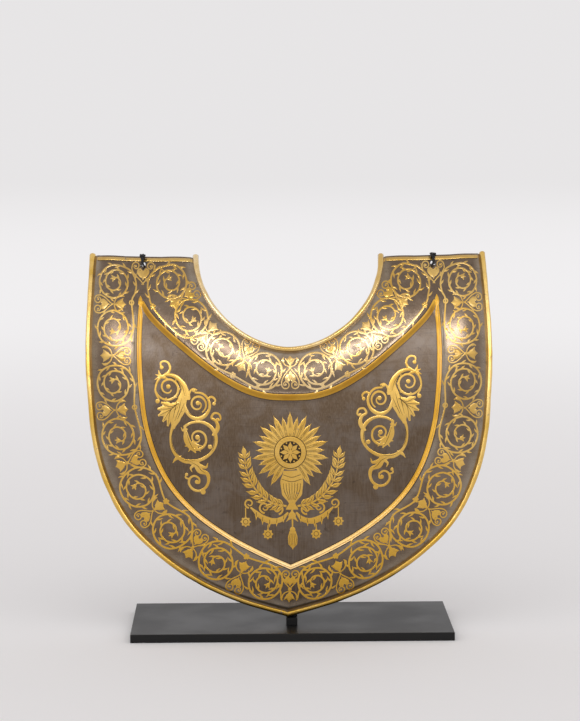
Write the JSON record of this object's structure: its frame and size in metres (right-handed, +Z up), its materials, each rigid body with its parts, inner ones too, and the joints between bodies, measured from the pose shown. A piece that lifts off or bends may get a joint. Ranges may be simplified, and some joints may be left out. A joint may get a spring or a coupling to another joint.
{
  "type": "steel gorget and display stand",
  "caption": "Curved steel gorget for throat and chest, pointed below and open at the neck, with rolled edges and a sunk field, tied at its holes to a low black display stand.",
  "frame": {"origin": "the middle of the whole object's box, at the underside of the stand's base", "axes": "+Z up, -Y towards the viewer in front of the gorget's outer face, +X to that viewer's right"},
  "size_m": [0.2654, 0.1332, 0.2369],
  "materials": {
    "steel": "old brown-grey steel, brushed, with worn gilt ornament and gilt rolled edges",
    "gilding": "worn fire gilding, satin",
    "black_paint": "satin black paint with small chips",
    "black_cord": "matte black twisted cord"
  },
  "bodies": {
    "root": {"gorget_plate": "steel", "stand_base": "black_paint", "stand_post": "black_paint", "tie_left": "black_cord", "tie_right": "black_cord"}
  },
  "joints": []
}
